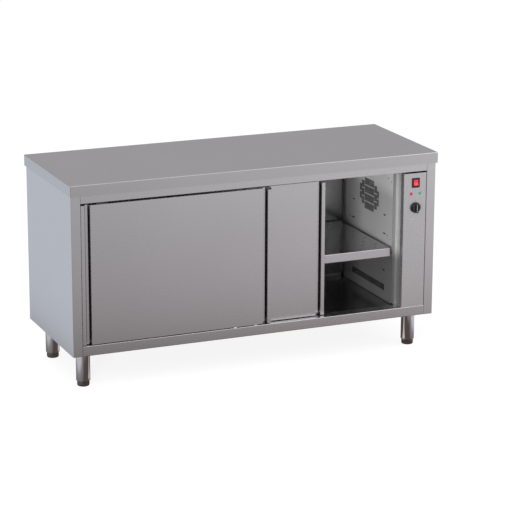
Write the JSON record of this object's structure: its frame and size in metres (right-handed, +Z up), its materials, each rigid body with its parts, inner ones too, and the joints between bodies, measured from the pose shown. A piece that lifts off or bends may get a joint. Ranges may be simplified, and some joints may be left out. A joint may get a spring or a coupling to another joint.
{
  "type": "plate warmer cabinet",
  "caption": "Heated plate cabinet on tube legs with sliding insulated doors, a perforated shelf and a side bay holding the fan, heater and controls.",
  "frame": {"origin": "on the floor, under the middle of the worktop", "axes": "+X to the right along the front, +Y to the back, +Z up"},
  "size_m": [1.6, 0.6093, 0.85],
  "materials": {
    "brushed_steel": "satin brushed stainless sheet",
    "zinc_steel": "zinc coated",
    "board": "raw",
    "mineral_wool": "fibrous",
    "track_aluminium": "extruded",
    "buffer_rubber": "matte",
    "white_nylon": "moulded",
    "black_plastic": "satin",
    "red_rocker": "glossy",
    "red_lens": "clear tinted",
    "green_lens": "clear tinted",
    "ceramic": "unglazed",
    "motor_paint": "satin",
    "heater_sheath": "heat darkened",
    "gland_plastic": "moulded",
    "brass": "plain"
  },
  "bodies": {
    "cabinet": {"worktop": "brushed_steel", "worktop_board": "board", "worktop_ribs": "zinc_steel", "left_side_panel": "brushed_steel", "right_side_panel": "brushed_steel", "back_panel": "brushed_steel", "top_rail": "brushed_steel", "base_pan": "brushed_steel", "base_ribs": "zinc_steel", "cabinet_floor": "brushed_steel", "left_inner_wall": "brushed_steel", "right_inner_wall": "brushed_steel", "inner_back_wall": "brushed_steel", "inner_ceiling": "brushed_steel", "insulation": "mineral_wool", "door_jamb": "brushed_steel", "door_track": "track_aluminium", "track_stops": "buffer_rubber", "door_guides": "white_nylon", "shelf": "brushed_steel", "shelf_ribs": "zinc_steel", "shelf_brackets": "brushed_steel", "leg_front_left": "brushed_steel", "leg_front_right": "brushed_steel", "leg_rear_left": "brushed_steel", "leg_rear_right": "brushed_steel", "control_panel": "brushed_steel", "switch_frame": "black_plastic", "red_lamp": "red_lens", "green_lamp": "green_lens", "thermostat": "ceramic", "fan_motor": "motor_paint", "ring_heater": "heater_sheath", "air_duct": "zinc_steel", "safety_thermostat": "zinc_steel", "terminal_block": "ceramic", "cable_gland": "gland_plastic", "earth_stud": "brass", "fasteners": "zinc_steel"},
    "front_door": {"front_door_face": "brushed_steel", "front_door_back": "brushed_steel", "front_door_core": "mineral_wool", "front_door_hangers": "zinc_steel"},
    "rear_door": {"rear_door_face": "brushed_steel", "rear_door_back": "brushed_steel", "rear_door_core": "mineral_wool", "rear_door_hangers": "zinc_steel"},
    "front_roller_left": {"front_roller_left": "white_nylon"},
    "front_roller_right": {"front_roller_right": "white_nylon"},
    "rear_roller_left": {"rear_roller_left": "white_nylon"},
    "rear_roller_right": {"rear_roller_right": "white_nylon"},
    "knob": {"knob": "black_plastic", "thermostat_shaft": "zinc_steel"},
    "rocker": {"rocker": "red_rocker"},
    "fan": {"fan_wheel": "zinc_steel"},
    "foot_front_left": {"foot_front_left": "brushed_steel"},
    "foot_front_right": {"foot_front_right": "brushed_steel"},
    "foot_rear_left": {"foot_rear_left": "brushed_steel"},
    "foot_rear_right": {"foot_rear_right": "brushed_steel"}
  },
  "joints": [
    {"name": "front_door_slide", "type": "slide", "parent": "cabinet", "child": "front_door", "axis": [1, 0, 0], "range_m": [0, 0.593]},
    {"name": "rear_door_slide", "type": "slide", "parent": "cabinet", "child": "rear_door", "axis": [1, 0, 0], "range_m": [-0.251, 0.342]},
    {"name": "front_roller_left_turn", "type": "hinge", "parent": "front_door", "child": "front_roller_left", "pos_m": [-0.664, -0.274, 0.8153], "axis": [0, 1, 0], "continuous": true},
    {"name": "front_roller_right_turn", "type": "hinge", "parent": "front_door", "child": "front_roller_right", "pos_m": [-0.034, -0.274, 0.8153], "axis": [0, 1, 0], "continuous": true},
    {"name": "rear_roller_left_turn", "type": "hinge", "parent": "rear_door", "child": "rear_roller_left", "pos_m": [-0.413, -0.248, 0.8153], "axis": [0, 1, 0], "continuous": true},
    {"name": "rear_roller_right_turn", "type": "hinge", "parent": "rear_door", "child": "rear_roller_right", "pos_m": [0.217, -0.248, 0.8153], "axis": [0, 1, 0], "continuous": true},
    {"name": "knob_turn", "type": "hinge", "parent": "cabinet", "child": "knob", "pos_m": [0.70445, -0.289, 0.6203], "axis": [0, 1, 0], "range_deg": [0, 270]},
    {"name": "rocker_tip", "type": "hinge", "parent": "cabinet", "child": "rocker", "pos_m": [0.70445, -0.286, 0.7258], "axis": [1, 0, 0], "range_deg": [0, 14]},
    {"name": "fan_spin", "type": "hinge", "parent": "cabinet", "child": "fan", "pos_m": [0.68, 0.016, 0.611], "axis": [1, 0, 0], "continuous": true},
    {"name": "foot_front_left_screw", "type": "slide", "parent": "cabinet", "child": "foot_front_left", "axis": [0, 0, -1], "range_m": [0, 0.05]},
    {"name": "foot_front_right_screw", "type": "slide", "parent": "cabinet", "child": "foot_front_right", "axis": [0, 0, -1], "range_m": [0, 0.05]},
    {"name": "foot_rear_left_screw", "type": "slide", "parent": "cabinet", "child": "foot_rear_left", "axis": [0, 0, -1], "range_m": [0, 0.05]},
    {"name": "foot_rear_right_screw", "type": "slide", "parent": "cabinet", "child": "foot_rear_right", "axis": [0, 0, -1], "range_m": [0, 0.05]}
  ],
  "couplings": [
    {"joint": "front_roller_left_turn", "follows": "front_door_slide", "rad_per_m": 100},
    {"joint": "front_roller_right_turn", "follows": "front_door_slide", "rad_per_m": 100},
    {"joint": "rear_roller_left_turn", "follows": "rear_door_slide", "rad_per_m": 100},
    {"joint": "rear_roller_right_turn", "follows": "rear_door_slide", "rad_per_m": 100}
  ]
}
